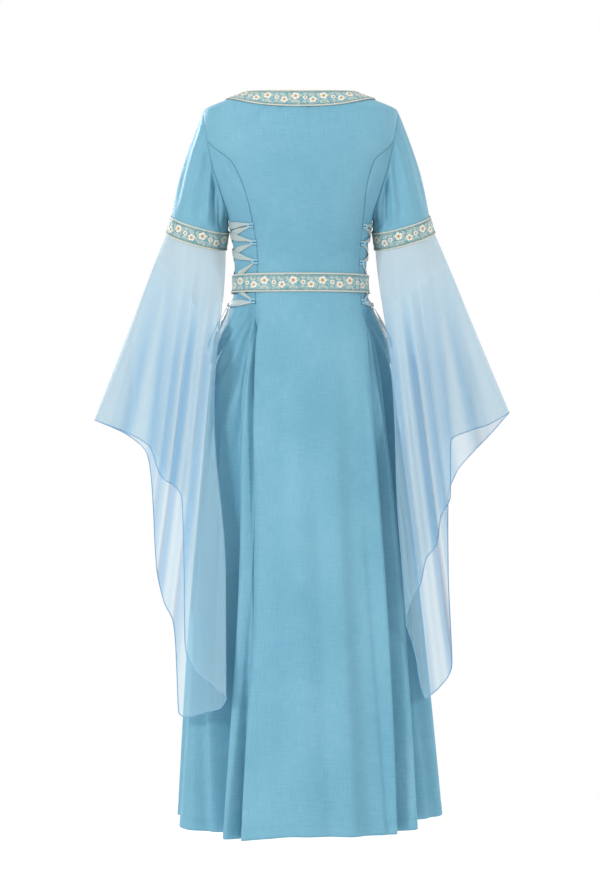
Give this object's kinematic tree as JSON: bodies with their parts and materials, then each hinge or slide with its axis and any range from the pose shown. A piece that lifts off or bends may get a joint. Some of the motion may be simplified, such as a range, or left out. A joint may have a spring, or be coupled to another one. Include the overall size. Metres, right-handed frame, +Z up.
{
  "type": "medieval dress",
  "caption": "Worn, hollow floor-length dress with laced princess seams, flowered trim at neck, arms and waist, and long hanging chiffon sleeves.",
  "frame": {"origin": "between the shoulders, at the height of the neckline, where the wearer's shoulders hold the dress", "axes": "+Z up; the front faces -Y and the back +Y; +X is the wearer's left"},
  "size_m": [0.777, 0.4162, 1.3548],
  "materials": {
    "cloth": "matt plain weave, sky blue",
    "chiffon": "sheer soft chiffon, pale blue",
    "trim": "woven flowered band with piped edges",
    "ribbon": "satin ribbon, silver green",
    "loop": "folded bias tube, pale blue"
  },
  "bodies": {
    "root": {"back_panel": "cloth", "front_panel": "cloth", "side_back_left": "cloth", "side_back_right": "cloth", "side_front_left": "cloth", "side_front_right": "cloth", "sleeve_upper_left": "cloth", "sleeve_upper_right": "cloth", "sleeve_drape_left": "chiffon", "sleeve_drape_right": "chiffon", "neck_trim": "trim", "belt": "trim", "arm_trim_left": "trim", "arm_trim_right": "trim", "lace_loop_back_left_1": "loop", "lace_loop_back_left_2": "loop", "lace_loop_back_left_3": "loop", "lace_loop_back_left_4": "loop", "lace_loop_front_left_1": "loop", "lace_loop_front_left_2": "loop", "lace_loop_front_left_3": "loop", "lace_loop_front_left_4": "loop", "lace_loop_back_right_1": "loop", "lace_loop_back_right_2": "loop", "lace_loop_back_right_3": "loop", "lace_loop_back_right_4": "loop", "lace_loop_front_right_1": "loop", "lace_loop_front_right_2": "loop", "lace_loop_front_right_3": "loop", "lace_loop_front_right_4": "loop", "lace_left_bar": "ribbon", "lace_left_down_1": "ribbon", "lace_left_down_2": "ribbon", "lace_left_down_3": "ribbon", "lace_left_up_1": "ribbon", "lace_left_up_2": "ribbon", "lace_left_up_3": "ribbon", "lace_left_tie_back": "ribbon", "lace_left_tie_front": "ribbon", "lace_knot_left": "ribbon", "lace_bow_left": "ribbon", "lace_tail_left": "ribbon", "lace_right_bar": "ribbon", "lace_right_down_1": "ribbon", "lace_right_down_2": "ribbon", "lace_right_down_3": "ribbon", "lace_right_up_1": "ribbon", "lace_right_up_2": "ribbon", "lace_right_up_3": "ribbon", "lace_right_tie_back": "ribbon", "lace_right_tie_front": "ribbon", "lace_knot_right": "ribbon", "lace_bow_right": "ribbon", "lace_tail_right": "ribbon"}
  },
  "joints": []
}
